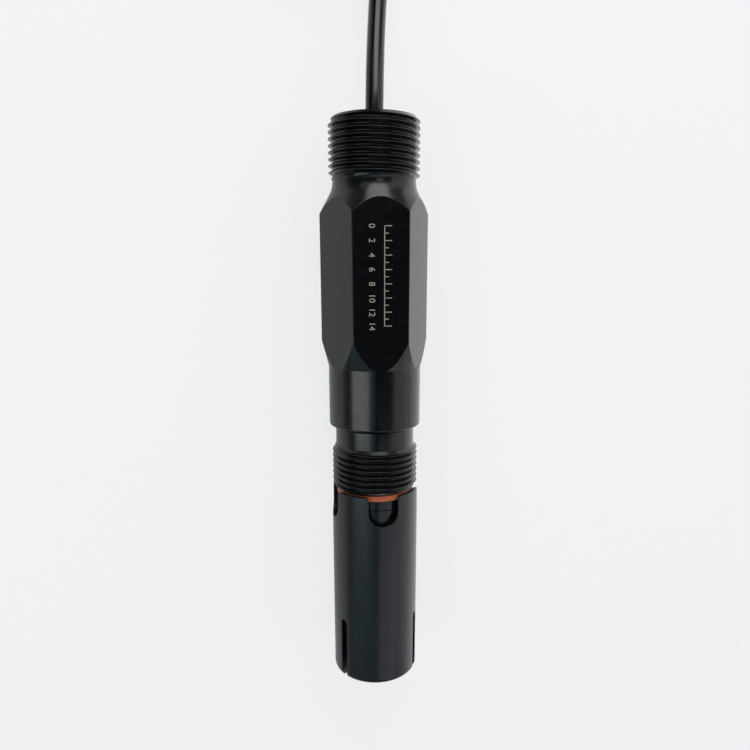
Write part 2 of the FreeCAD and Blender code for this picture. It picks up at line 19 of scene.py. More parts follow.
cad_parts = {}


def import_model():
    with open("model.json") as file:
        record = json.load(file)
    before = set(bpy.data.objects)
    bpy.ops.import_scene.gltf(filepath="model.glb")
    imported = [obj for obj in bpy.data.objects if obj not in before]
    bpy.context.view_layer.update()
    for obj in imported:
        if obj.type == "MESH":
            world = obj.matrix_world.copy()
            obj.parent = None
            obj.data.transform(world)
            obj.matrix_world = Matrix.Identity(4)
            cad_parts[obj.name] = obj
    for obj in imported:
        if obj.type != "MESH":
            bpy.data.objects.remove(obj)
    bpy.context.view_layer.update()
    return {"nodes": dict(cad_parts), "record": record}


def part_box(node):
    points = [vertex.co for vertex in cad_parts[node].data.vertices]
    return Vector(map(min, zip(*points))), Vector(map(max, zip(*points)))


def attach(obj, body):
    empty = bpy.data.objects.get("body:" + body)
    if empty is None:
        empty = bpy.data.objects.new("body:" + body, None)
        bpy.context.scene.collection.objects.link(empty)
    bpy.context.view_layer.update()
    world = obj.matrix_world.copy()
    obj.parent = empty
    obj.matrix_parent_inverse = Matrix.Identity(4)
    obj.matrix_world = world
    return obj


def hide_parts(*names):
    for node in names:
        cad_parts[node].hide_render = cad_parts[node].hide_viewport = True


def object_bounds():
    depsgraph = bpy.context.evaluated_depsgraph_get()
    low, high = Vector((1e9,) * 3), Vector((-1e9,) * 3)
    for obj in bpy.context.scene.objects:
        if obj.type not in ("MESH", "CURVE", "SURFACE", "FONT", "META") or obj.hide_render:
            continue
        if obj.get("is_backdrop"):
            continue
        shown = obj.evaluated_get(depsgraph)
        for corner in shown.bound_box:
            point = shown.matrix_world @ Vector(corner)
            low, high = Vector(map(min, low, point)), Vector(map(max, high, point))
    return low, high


MM = 0.001
ROUND = 128  # segments round the sensor, a facet every 0.7 mm
FLAT = 0.1  # degrees: an edge that turns less than this lies in a flat face
PICTURE = 750.0  # pixels across the picture, both ways
FILM_WIDTH = 36.0  # of the camera, in millimetres
log = logging.getLogger("ph_sensor")

Pair = tuple[float, float]
Outline = list[Pair]


# Modelling by hand


@dataclass(frozen=True)
class Axis:
    """The sensor's axis, with stations that run down it from the top rim."""

    top: float
    height: float

    def point(self, station: float, radius: float = 0.0, angle: float = 0.0) -> Vector:
        """The place of a station, a radius and an angle.

        Args:
            station: distance down the axis, in millimetres.
            radius: distance from the axis, in millimetres.
            angle: degrees from straight up towards +X.

        Returns:
            The point, in metres.
        """
        turn = math.radians(angle)
        across = radius * MM * math.sin(turn)
        return Vector(
            (across, self.top - station * MM, self.height + radius * MM * math.cos(turn))
        )

    def station(self, point: Vector) -> float:
        """How far down the axis a point lies, in millimetres."""
        return (self.top - point.y) / MM

    def radius(self, point: Vector) -> float:
        """How far from the axis a point lies, in millimetres."""
        return math.hypot(point.x, point.z - self.height) / MM

    def turned(self, angle: float) -> Matrix:
        """The turn round the axis by an angle in degrees, from +Z towards +X."""
        centre = Matrix.Translation((0, 0, self.height))
        return centre @ Matrix.Rotation(math.radians(angle), 4, "Y") @ centre.inverted()


def to_object_mode() -> None:
    """Leave edit mode, if it is on."""
    if bpy.context.object and bpy.context.object.mode != "OBJECT":
        bpy.ops.object.mode_set(mode="OBJECT")


def clear_selection() -> None:
    """Go to object mode with nothing selected."""
    to_object_mode()
    bpy.ops.object.select_all(action="DESELECT")


def take(obj: Object) -> None:
    """Select one object alone and make it the active one.

    Args:
        obj: the object.
    """
    clear_selection()
    obj.select_set(True)
    bpy.context.view_layer.objects.active = obj


def edit(obj: Object) -> None:
    """Take one object into edit mode with all of it selected.

    Args:
        obj: the mesh object.
    """
    take(obj)
    bpy.ops.object.mode_set(mode="EDIT")
    bpy.ops.mesh.select_all(action="SELECT")


def drawn_line(name: str, points: list[Vector], closed: bool = False) -> Object:
    """A line of edges, extruded corner by corner from one point.

    Args:
        name: the new object's name.
        points: the corners, in metres.
        closed: whether an edge joins the last corner to the first.

    Returns:
        The object, in edit mode with its whole line selected.
    """
    clear_selection()
    bpy.ops.mesh.primitive_plane_add(size=MM, location=(0, 0, 0))
    obj = bpy.context.object
    obj.name = obj.data.name = name
    edit(obj)
    bpy.ops.mesh.merge(type="CENTER")
    bpy.ops.transform.translate(value=points[0])
    for before, after in zip(points, points[1:]):
        step = {"value": after - before}
        bpy.ops.mesh.extrude_region_move(TRANSFORM_OT_translate=step)
    if closed:
        mesh = bmesh.from_edit_mesh(obj.data)
        mesh.verts.ensure_lookup_table()
        bpy.ops.mesh.select_all(action="DESELECT")
        mesh.verts[0].select_set(True)
        mesh.verts[len(mesh.verts) - 1].select_set(True)
        bmesh.update_edit_mesh(obj.data)
        bpy.ops.mesh.edge_face_add()
    bpy.ops.mesh.select_all(action="SELECT")
    return obj


def tidy(obj: Object, gap: float = 0.002) -> None:
    """Merge what lies together, clear slivers and turn every face outwards.

    Args:
        obj: the mesh object.
        gap: points nearer than this, in millimetres, become one.
    """
    edit(obj)
    bpy.ops.mesh.remove_doubles(threshold=gap * MM)
    bpy.ops.mesh.dissolve_degenerate(threshold=gap * MM / 2)
    bpy.ops.mesh.select_all(action="SELECT")
    bpy.ops.mesh.normals_make_consistent(inside=False)
    to_object_mode()


def spun(
    name: str, axis: Axis, outline: Outline, closed: bool = True, steps: int = ROUND
) -> Object:
    """A body turned on the sensor's axis.

    Args:
        name: the new object's name.
        axis: the axis to turn about.
        outline: the half section's corners, as (station, radius).
        closed: whether the half section's last corner joins its first.
        steps: segments round the axis.

    Returns:
        The object, in object mode.
    """
    obj = drawn_line(name, [axis.point(s, r, 90) for s, r in outline], closed)
    centre = axis.point(0)
    bpy.ops.mesh.spin(steps=steps, angle=math.tau, center=centre, axis=(0, 1, 0))
    tidy(obj)
    return obj


def prism(name: str, axis: Axis, outline: Outline, low: float, high: float) -> Object:
    """A straight cutter that stands across the axis.

    Args:
        name: the new object's name.
        axis: the axis that the heights are measured from.
        outline: its corners seen from above, as (x, station).
        low: its foot over the axis, in millimetres.
        high: its top over the axis, in millimetres.

    Returns:
        The object, in object mode.
    """
    points = [axis.point(s) + Vector((x, 0, low)) * MM for x, s in outline]
    obj = drawn_line(name, points, True)
    bpy.ops.mesh.edge_face_add()
    rise = {"value": (0, 0, (high - low) * MM)}
    bpy.ops.mesh.extrude_region_move(TRANSFORM_OT_translate=rise)
    tidy(obj)
    return obj


def drill(middle: Vector, radius: float, depth: float, sides: int) -> Object:
    """A round cutter that runs along the axis.

    Args:
        middle: its middle, in metres.
        radius: in millimetres.
        depth: its length, in millimetres.
        sides: how many faces it has round it.

    Returns:
        The object, in object mode.
    """
    clear_selection()
    size = {"radius": radius * MM, "depth": depth * MM}
    bpy.ops.mesh.primitive_cylinder_add(vertices=sides, location=(0, 0, 0), **size)
    cutter = bpy.context.object
    turn = Matrix.Rotation(math.radians(90), 4, "X")
    cutter.data.transform(Matrix.Translation(middle) @ turn)
    return cutter


def copied(obj: Object, move: Matrix) -> Object:
    """Copy a piece with its own mesh.

    Args:
        obj: the piece.
        move: where its copy's mesh goes.

    Returns:
        The copy.
    """
    twin = obj.copy()
    twin.data = obj.data.copy()
    bpy.context.scene.collection.objects.link(twin)
    twin.data.transform(move)
    return twin


def joined(name: str, pieces: list[Object]) -> Object:
    """Make several meshes one object.

    Args:
        name: the object's new name.
        pieces: the meshes, of which the first takes in the others.

    Returns:
        The one object.
    """
    take(pieces[0])
    for piece in pieces[1:]:
        piece.select_set(True)
    bpy.ops.object.join()
    pieces[0].name = pieces[0].data.name = name
    return pieces[0]


def apply_modifier(obj: Object, kind: str, **settings) -> None:
    """Change the active piece by a modifier.

    Args:
        obj: the piece.
        kind: the modifier's type.
        **settings: the modifier's own properties.
    """
    modifier = obj.modifiers.new(kind.lower(), kind)
    for name, value in settings.items():
        setattr(modifier, name, value)
    bpy.ops.object.modifier_apply(modifier=modifier.name)


def cut(obj: Object, cutter: Object) -> None:
    """Take a cutter's space out of a piece, and the cutter away.

    Args:
        obj: the piece.
        cutter: the closed mesh that is cut out, and then removed.
    """
    take(obj)
    apply_modifier(obj, "BOOLEAN", operation="DIFFERENCE", solver="EXACT", object=cutter)
    bpy.data.objects.remove(cutter)


def pick_edges(obj: Object, sharper: float, wanted: Callable[[Vector], bool]) -> None:
    """Select some of a piece's edges, in edit mode.

    Args:
        obj: the mesh object.
        sharper: only edges that turn more than this many degrees are taken.
        wanted: says of an edge's middle whether that edge is taken.
    """
    edit(obj)
    bpy.ops.mesh.select_mode(type="EDGE")
    bpy.ops.mesh.select_all(action="DESELECT")
    bpy.ops.mesh.edges_select_sharp(sharpness=math.radians(sharper))
    mesh = bmesh.from_edit_mesh(obj.data)
    for edge in mesh.edges:
        if edge.select and not wanted((edge.verts[0].co + edge.verts[1].co) / 2):
            edge.select_set(False)
    bmesh.update_edit_mesh(obj.data)


def smooth(
    obj: Object, angle: float = 30.0, crisp: Callable[[Vector], bool] = lambda middle: False
) -> None:
    """Shade a piece smooth, with its wide faces true and its sharp edges kept.

    Args:
        obj: the mesh object.
        angle: edges that turn more than this many degrees stay sharp.
        crisp: says of an edge's middle whether it stays sharp at any angle.
    """
    take(obj)
    bpy.ops.object.shade_smooth_by_angle(angle=math.radians(angle))
    pick_edges(obj, FLAT, crisp)
    bpy.ops.mesh.mark_sharp()
    bpy.ops.mesh.select_mode(type="VERT")
    to_object_mode()
    apply_modifier(obj, "WEIGHTED_NORMAL", keep_sharp=True)


def ease_edges(
    obj: Object,
    width: float,
    sharper: float,
    where: Callable[[Vector], bool] = lambda middle: True,
    segments: int = 2,
) -> None:
    """Round a piece's sharp edges.

    Args:
        obj: the mesh object.
        width: the rounding's width, in millimetres.
        sharper: only edges that turn more than this many degrees are rounded.
        where: says of an edge's middle whether that edge is rounded.
        segments: faces across the rounding.
    """
    pick_edges(obj, sharper, where)
    bpy.ops.mesh.bevel(
        offset=width * MM, segments=segments, affect="EDGES", clamp_overlap=False
    )
    bpy.ops.mesh.select_mode(type="VERT")
    to_object_mode()


def arc(centre: Pair, radius: float, first: float, last: float, steps: int) -> Outline:
    """An arc's corners, ends included, by degrees from its first number's direction."""
    turns = [math.radians(first + (last - first) * i / steps) for i in range(steps + 1)]
    return [(centre[0] + radius * math.cos(t), centre[1] + radius * math.sin(t)) for t in turns]


# Finishes


def linear(colour: str) -> tuple[float, float, float, float]:
    """Turn an sRGB hex value into the linear colour that shaders take.

    Args:
        colour: the hex value, with its hash.

    Returns:
        Red, green, blue and a full alpha.
    """
    parts = [int(colour[i : i + 2], 16) / 255 for i in (1, 3, 5)]
    lit = [c / 12.92 if c <= 0.04045 else ((c + 0.055) / 1.055) ** 2.4 for c in parts]
    return (lit[0], lit[1], lit[2], 1.0)


def add_node(tree: NodeTree, kind: str, inputs: dict | None = None, **settings) -> Node:
    """Add a node, with its settings, its values and its links.

    Args:
        tree: the node tree that it goes into.
        kind: the node's type name, without the "ShaderNode" that all begin with.
        inputs: for each input, by name or number, a value or the socket to link.
        **settings: the node's own properties.

    Returns:
        The node.
    """
    node = tree.nodes.new("ShaderNode" + kind)
    for name, value in settings.items():
        setattr(node, name, value)
    for name, value in (inputs or {}).items():
        if isinstance(value, NodeSocket):
            tree.links.new(value, node.inputs[name])
        else:
            node.inputs[name].default_value = value
    return node


class Marks(Enum):
    """The way a surface's fine marks run, as stretches along X, Y and Z."""

    NONE = (1.0, 1.0, 1.0)
    TURNED = (40.0, 1.0, 40.0)
    DRAWN = (1.0, 60.0, 1.0)


@dataclass(frozen=True)
class Finish:
    """A surface with its colour, gloss and fine relief, all by real sizes.

    The patches are where colour and gloss drift, and the grain is the relief.
    """

    name: str
    colour: str
    other: str
    roughness: float
    spread: float = 0.06
    patch: float = 3.0
    grain: float = 0.3
    relief: float = 0.002
    marks: Marks = Marks.NONE
    ior: float = 1.5
    metallic: float = 0.0
    coat: float = 0.0
    transmission: float = 0.0
    dust: float = 0.0

    def material(self) -> Material:
        """Build the material.

        Returns:
            A new material under the finish's own name.
        """
        made = bpy.data.materials.new(self.name)
        made.use_nodes = True
        tree = made.node_tree
        node = partial(add_node, tree)
        shader = tree.nodes["Principled BSDF"]
        place = node("TexCoord").outputs["Object"]
        drift = {"Vector": place, "Scale": 1 / (self.patch * MM), "Detail": 4.0, "Roughness": 0.6}
        patches = node("TexNoise", drift).outputs["Fac"]
        scale = [1 / (self.grain * MM * stretch) for stretch in self.marks.value]
        lengthened = node("Mapping", {"Vector": place, "Scale": scale}).outputs["Vector"]
        marks = {"Vector": lengthened, "Scale": 1.0, "Detail": 3.0}
        grain = node("TexNoise", marks).outputs["Fac"]
        ramp = node("ValToRGB", {"Fac": patches})
        ends = ((0.35, self.colour), (0.65, self.other))
        for element, (position, colour) in zip(ramp.color_ramp.elements, ends):
            element.position, element.color = position, linear(colour)
        mixed = ramp.outputs["Color"]
        if self.dust > 0:
            mixed = self.dusted(tree, place, mixed)
        total = node("Math", {0: patches, 1: grain}, operation="ADD").outputs[0]
        half = node("Math", {0: total, 1: 0.5}, operation="MULTIPLY").outputs[0]
        limits = {"Value": half, "From Min": 0.3, "From Max": 0.7}
        limits["To Min"] = max(0.02, self.roughness - self.spread)
        limits["To Max"] = min(1.0, self.roughness + self.spread)
        gloss = node("MapRange", limits).outputs["Result"]
        height = {"Height": grain, "Distance": self.relief * MM, "Strength": 1.0}
        bump = node("Bump", height).outputs["Normal"]
        tree.links.new(mixed, shader.inputs["Base Color"])
        tree.links.new(gloss, shader.inputs["Roughness"])
        tree.links.new(bump, shader.inputs["Normal"])
        shader.inputs["Metallic"].default_value = self.metallic
        if self.metallic == 0.0:
            shader.inputs["IOR"].default_value = self.ior
        shader.inputs["Coat Weight"].default_value = self.coat
        shader.inputs["Transmission Weight"].default_value = self.transmission
        return made

    def dusted(self, tree: NodeTree, place: NodeSocket, colour: NodeSocket) -> NodeSocket:
        """Strew a few pale specks of dust, each about 0.1 mm across, on a colour.

        Args:
            tree: the material's node tree.
            place: the coordinates on the object.
            colour: the colour under the dust.

        Returns:
            The dusted colour's socket.
        """
        cells = add_node(tree, "TexVoronoi", {"Vector": place, "Scale": 1 / (1.6 * MM)})
        limits = {"Value": cells.outputs["Distance"], "From Min": 0.03, "From Max": 0.05}
        limits |= {"To Min": self.dust, "To Max": 0.0}
        speck = add_node(tree, "MapRange", limits).outputs["Result"]
        pale = {"Fac": speck, "Color1": colour, "Color2": linear("#9a9a94")}
        return add_node(tree, "MixRGB", pale).outputs["Color"]


# Black engineering plastic, turned on a lathe: a satin gloss with faint rings.
HOUSING = Finish(
    "turned_black_plastic", "#050607", "#08090a", 0.23, 0.05, 2.5, 0.25, 0.0016, Marks.TURNED,
    dust=0.25,
)  # fmt: skip
# The same plastic on the holder, a little less even.
HOLDER = Finish(
    "turned_black_plastic_lower", "#050607", "#090a0b", 0.24, 0.06, 2.0, 0.25, 0.0016,
    Marks.TURNED, dust=0.25,
)  # fmt: skip
# The guard's plastic is moulded and then turned, which leaves it duller.
GUARD = Finish("satin_black_plastic", "#07080a", "#0b0d0e", 0.3, 0.05, 3.0, 0.3, dust=0.2)
# Extruded polyurethane jacket: glossy, with a faint even grain.
JACKET = Finish(
    "extruded_polyurethane_jacket", "#060708", "#0a0b0c", 0.15, 0.04, 3.0, 0.5, 0.003, dust=0.2
)
# Blown soda glass: clear, with slow waves from the flame.
GLASS = Finish(
    "blown_clear_glass", "#f2f7f6", "#e8f0ef", 0.03, 0.01, 4.0, 3.0, 0.01, ior=1.47,
    transmission=1.0,
)  # fmt: skip
# Drawn silver wire with a dull chloride bloom.
SILVER = Finish(
    "drawn_silver_wire", "#c9c8c4", "#a9a8a6", 0.35, 0.08, 1.0, 0.08, marks=Marks.DRAWN,
    metallic=1.0,
)  # fmt: skip
# Stainless steel tube, drawn and brushed.
STEEL = Finish(
    "drawn_stainless_steel", "#b9babb", "#a6a7a9", 0.28, 0.06, 1.0, 0.06, marks=Marks.DRAWN,
    metallic=1.0,
)  # fmt: skip
# Tinned copper crimped round the cores.
TINNED = Finish("tinned_copper", "#c4c4c2", "#b2b2b0", 0.3, 0.08, 1.0, 0.2, 0.005, metallic=1.0)
# Pale ink of the scale that is printed on the upper flat: slightly worn and matt.
INK = Finish("pale_printing_ink", "#b9b29c", "#a39c88", 0.55, 0.08, 0.8, 0.1)


def insulation(name: str, colour: str, other: str) -> Finish:
    """Glossy insulation, extruded over one of the cable's cores."""
    return Finish(f"{name}_core_insulation", colour, other, 0.32, 0.05, 2.0, 0.5)


FINISHES: dict[str, Finish] = {
    "housing_plastic": HOUSING,
    "holder_plastic": HOLDER,
    "guard_plastic": GUARD,
    "cable_jacket": JACKET,
    "electrode_glass": GLASS,
    "silver_wire": SILVER,
    "probe_steel": STEEL,
    "tinned_copper": TINNED,
    # Silicone rubber, moulded: an orange matt surface with a soft sheen.
    "ring_rubber": Finish("orange_silicone_rubber", "#c8693f", "#bc5f38", 0.55, 0.08, 1.5, 0.15),
    # Glass-filled nylon, moulded: grey-black with a fine leathery grain.
    "gland_plastic": Finish(
        "moulded_black_nylon", "#0e0f10", "#141516", 0.4, 0.08, 1.5, 0.2, 0.004
    ),
    # Nylon without colour: milky white and waxy.
    "washer_plastic": Finish("natural_nylon", "#e4e1d6", "#dad6c8", 0.45, 0.06, 2.0, 0.2),
    # Moulded plastic of the cap, dark grey with a dull sheen.
    "cap_plastic": Finish("moulded_grey_plastic", "#24262a", "#2b2d31", 0.4, 0.06, 2.0, 0.2),
    # Moulded plastic of the carrier, pale grey and even.
    "carrier_plastic": Finish(
        "moulded_pale_plastic", "#bcbdb9", "#b0b1ad", 0.45, 0.06, 3.0, 0.3, 0.003
    ),
    # Cream nylon of a small socket, smooth from its mould.
    "connector_plastic": Finish("cream_nylon", "#e6e0cc", "#dcd5be", 0.4, 0.05, 2.0, 0.2),
    # Moulded epoxy of chips: black and matt.
    "chip_plastic": Finish("moulded_epoxy", "#17181a", "#1d1e20", 0.6, 0.08, 1.0, 0.1, 0.003),
    # Green solder lacquer over glass laminate: glossy, with the weave just felt.
    "board_laminate": Finish(
        "lacquered_laminate", "#0f5a34", "#126b3e", 0.25, 0.05, 2.0, 0.4, 0.004, coat=0.3
    ),
    # Cast resin, dark amber and glossy.
    "plug_resin": Finish("cast_resin", "#2a2018", "#35281d", 0.2, 0.05, 2.0, 0.6, 0.004),
    # Porous ceramic: chalky white with open pores.
    "junction_ceramic": Finish("porous_ceramic", "#ece9e0", "#d8d4c8", 0.8, 0.1, 0.6, 0.12, 0.02),
    # Extruded insulation of thin leads, with faint lines along it.
    "lead_plastic": Finish(
        "extruded_lead_insulation", "#8c2420", "#7e1f1c", 0.3, 0.05, 2.0, 0.4, marks=Marks.DRAWN
    ),
    # Black nitrile rubber: matt with a faint bloom.
    "seal_rubber": Finish("nitrile_rubber", "#111213", "#18191a", 0.6, 0.08, 1.0, 0.15, 0.003),
    # Nylon strap with a moulded sheen.
    "tie_plastic": Finish("nylon_strap", "#141517", "#1a1b1d", 0.38, 0.06, 1.5, 0.3, 0.004),
    # Shrunk polyolefin sleeve: matt and slightly rippled.
    "sleeve_plastic": Finish(
        "shrunk_polyolefin_sleeve", "#101113", "#16171a", 0.5, 0.06, 2.0, 1.2, 0.02
    ),
    "core_red_plastic": insulation("red", "#a3201c", "#931b18"),
    "core_black_plastic": insulation("black", "#141516", "#1a1b1c"),
    "core_green_plastic": insulation("green", "#1c6b34", "#185f2e"),
    "core_white_plastic": insulation("white", "#e3e1da", "#d8d6ce"),
}


class Wardrobe:
    """Every finish made once, and given to the pieces that wear it."""

    def __init__(self) -> None:
        """Start with no material made."""
        self.made: dict[str, Material] = {}

    def dress(self, obj: Object, slot: str) -> None:
        """Give a piece or CAD node the finish of one of the record's slots."""
        self.wear(obj, FINISHES[slot])

    def wear(self, obj: Object, finish: Finish) -> None:
        """Give a piece a finish, made on its first use.

        Args:
            obj: the piece or CAD node.
            finish: what it wears.
        """
        if finish.name not in self.made:
            self.made[finish.name] = finish.material()
        obj.data.materials.clear()
        obj.data.materials.append(self.made[finish.name])


# The sensor's pieces


@dataclass(frozen=True)
class Thread:
    """A right-hand pipe thread of 14 turns to the inch, cut with crests sharper than its roots."""

    crest: float = 13.22
    depth: float = 1.16
    pitch: float = 1.814
    crest_rounding: float = 0.14
    root_rounding: float = 0.249
    flank: float = 27.5
    foot: float = 12.04
    chords: int = 4

    def turn(self) -> Outline:
        """One turn's half section, crest to crest.

        Returns:
            Corners as (distance along, radius).
        """
        top = (0.0, self.crest - self.crest_rounding)
        half = arc(top, self.crest_rounding, 90, self.flank, self.chords)
        low = (self.pitch / 2, self.crest - self.depth + self.root_rounding)
        half += arc(low, self.root_rounding, 180 + self.flank, 270, self.chords)
        return half + [(self.pitch - s, r) for s, r in reversed(half[:-1])]

    def wrap(self, body: Object, axis: Axis, start: float, length: float, crest_at: float) -> None:
        """Close a turned body with the thread's outside, between two plain rings.

        Args:
            body: the body, which is open where the thread goes.
            axis: the sensor's axis.
            start: the station of the thread's upper ring.
            length: how far down it runs.
            crest_at: the station of a crest on the +X side.
        """
        turns = math.ceil(length / self.pitch) + 3
        first = (crest_at - start) % self.pitch - 2 * self.pitch
        points = [Vector((r, -(first + s), 0)) * MM for s, r in self.turn()]
        obj = drawn_line("turns", points)
        to_object_mode()
        screw = {"axis": "Y", "angle": math.tau, "screw_offset": -self.pitch * MM}
        screw |= {"iterations": turns, "steps": ROUND, "render_steps": ROUND}
        screw |= {"use_merge_vertices": True, "merge_threshold": MM * 0.001}
        apply_modifier(obj, "SCREW", **screw)
        for vertex in obj.data.vertices:
            along = min(max(-vertex.co.y / MM, 0.0), length)
            radius = math.hypot(vertex.co.x, vertex.co.z) / MM
            limit = self.foot + min(along, length - along)
            share = min(radius, limit) / radius
            vertex.co = (vertex.co.x * share, -along * MM, vertex.co.z * share)
        obj.data.transform(Matrix.Translation(axis.point(start)))
        tidy(obj)
        tidy(joined(body.name, [body, obj]))


@dataclass
class Housing:
    """The turned housing with six milled flats and its upper thread."""

    axis: Axis
    thread: Thread = Thread()
    thread_length: float = 16.85
    crest_at: float = 1.15
    neck: float = 12.1
    cone: Pair = (18.95, 26.0)
    cone_fillet: float = 7.6
    hexagon: Pair = (26.0, 62.6)
    barrel: Pair = (70.3, 88.6)
    turned: float = 16.0
    flat: float = 13.9
    barrel_radius: float = 14.0
    pocket: Pair = (16.0, 8.5)  # each hollow's end and radius
    passage: Pair = (19.0, 3.1)
    cavity: Pair = (68.35, 10.6)
    socket: float = 11.4
    edge: float = 0.7
    ease: float = 0.16
    rim_ease: float = 0.2
    mill_height: float = 8.0

    def build(self) -> Object:
        """Turn the body, set the thread on it and mill the flats.

        Returns:
            The finished piece.
        """
        top, bottom = self.barrel
        corner = (bottom - self.edge, self.barrel_radius - self.edge)
        outline = [(0.0, self.thread.foot), (0.0, self.pocket[1])]
        for hollow, deeper in ((self.pocket, self.passage), (self.passage, self.cavity)):
            outline += [hollow, (hollow[0], deeper[1])]
        outline += [self.cavity, (self.cavity[0], self.socket), (bottom, self.socket)]
        outline += arc(corner, self.edge, 0, 90, 4)
        outline += [(top, self.barrel_radius), (self.hexagon[1], self.turned)]
        outline += [(self.hexagon[0], self.turned)]
        lean = math.degrees(math.atan2(self.turned - self.neck, self.hexagon[0] - self.cone[0]))
        start = self.cone[0] - self.cone_fillet * math.tan(math.radians(lean / 2))
        centre = (start, self.neck + self.cone_fillet)
        outline += arc(centre, self.cone_fillet, lean - 90, -90, 8)
        outline += [(self.thread_length + 0.1, self.neck), (self.thread_length, self.thread.foot)]
        body = spun("housing", self.axis, outline, closed=False)
        self.thread.wrap(body, self.axis, 0.0, self.thread_length, self.crest_at)
        cut(body, self.milling())
        tidy(body, 0.01)
        ease_edges(body, self.ease, 9.0, self.milled)
        ease_edges(body, self.rim_ease, 40.0, self.turned_rim)
        smooth(body, 40.0, self.corner)
        return body

    def milling(self) -> Object:
        """Set up what a mill takes off the turned body.

        Returns:
            Six blocks as one object, a flat's height off the axis.
        """
        side = self.turned / 2
        low, high = self.thread_length, self.barrel[0]
        corners = [(-side, low), (side, low), (side, high), (-side, high)]
        block = prism("milled_away", self.axis, corners, self.flat, self.flat + self.mill_height)
        rest = [copied(block, self.axis.turned(60.0 * i)) for i in range(1, 6)]
        return joined("milled_away", [block, *rest])

    def milled(self, middle: Vector) -> bool:
        """Tell whether an edge lies where the flats meet the turned body.

        Args:
            middle: the edge's middle, in metres.

        Returns:
            Whether it is one of those that are eased.
        """
        station = self.axis.station(middle)
        outside = self.axis.radius(middle) > self.flat - 0.1
        return outside and self.thread_length < station < self.barrel[0] - 0.05

    def corner(self, middle: Vector) -> bool:
        """Whether an edge lies on a corner that the lathe left round the body."""
        station = self.axis.station(middle)
        return min(abs(station - at) for at in (*self.hexagon, self.barrel[0])) < 0.02

    def turned_rim(self, middle: Vector) -> bool:
        """Whether an edge is the rim of the gland's pocket."""
        at_top = abs(self.axis.station(middle)) < 0.05
        return at_top and abs(self.axis.radius(middle) - self.pocket[1]) < 0.1


@dataclass
class Holder:
    """The lower neck, thread, collar and nose, which carry the glass."""

    axis: Axis
    thread: Thread = Thread()
    top: float = 68.6
    spigot: float = 11.35
    lead_in: float = 0.4
    neck: float = 12.1
    neck_span: Pair = (88.6, 94.7)
    relief: float = 0.65
    seals: Pair = (73.6, 80.6)
    seal_groove: float = 1.15  # its depth, and half its width
    thread_length: float = 14.0
    crest_at: float = 95.9
    collar: float = 11.3
    collar_step: float = 0.15
    collar_groove: float = 4.7  # how far it lies below the thread
    groove_width: float = 0.4
    groove_depth: float = 0.35
    nose: Pair = (124.1, 134.1)
    nose_radius: float = 10.5
    nose_edge: float = 1.2
    shoulder: Pair = (0.3, 0.8)  # the collar's chamfer, and the step down to the nose
    glass_hole: float = 5.55
    chamber: float = 9.2
    plug: float = 7.0
    side_hole: float = 1.53
    side_holes: float = 7.5  # their distance from the axis

    def build(self) -> Object:
        """Turn the holder, set the thread on it and drill its nose.

        Returns:
            The finished piece.
        """
        end = self.neck_span[1] + self.thread_length
        tip, side, deep = self.nose[1], self.nose_radius - self.nose_edge, self.seal_groove
        first = end + self.collar_groove
        last, floor = first + self.groove_width, self.collar - self.groove_depth
        step, (chamfer, fall) = self.collar_step, self.shoulder
        outline = [(end, self.thread.foot), (end, self.collar + step), (end + step, self.collar)]
        outline += [(first, self.collar), (first, floor), (last, floor), (last, self.collar)]
        outline += [(self.nose[0] - chamfer, self.collar), (self.nose[0], self.collar - chamfer)]
        outline += [(self.nose[0] + fall, self.nose_radius)]
        outline += [(tip - self.nose_edge, self.nose_radius), (tip, side), (tip, self.glass_hole)]
        outline += [(tip - self.plug, self.glass_hole), (tip - self.plug, self.chamber)]
        outline += [(self.top, self.chamber), (self.top, self.spigot - self.lead_in)]
        outline += [(self.top + self.lead_in, self.spigot)]
        for middle in self.seals:
            outline += [(middle - deep, self.spigot), (middle - deep, self.spigot - deep)]
            outline += [(middle + deep, self.spigot - deep), (middle + deep, self.spigot)]
        foot = self.neck_span[0] + self.relief
        outline += [(foot, self.spigot), (foot, self.neck)]
        outline += [(self.neck_span[1] - 0.1, self.neck), (self.neck_span[1], self.thread.foot)]
        body = spun("holder", self.axis, outline, closed=False)
        self.thread.wrap(body, self.axis, self.neck_span[1], self.thread_length, self.crest_at)
        for angle in (90.0, 180.0):  # the probe's hole and the porous pin's
            middle = self.axis.point(tip - self.plug / 2, self.side_holes, angle)
            cut(body, drill(middle, self.side_hole, self.plug + 2.0, 32))
        tidy(body, 0.005)
        ease_edges(body, 0.12, 40.0, lambda middle: self.axis.station(middle) > tip - 0.1)
        smooth(body, 40.0)
        return body


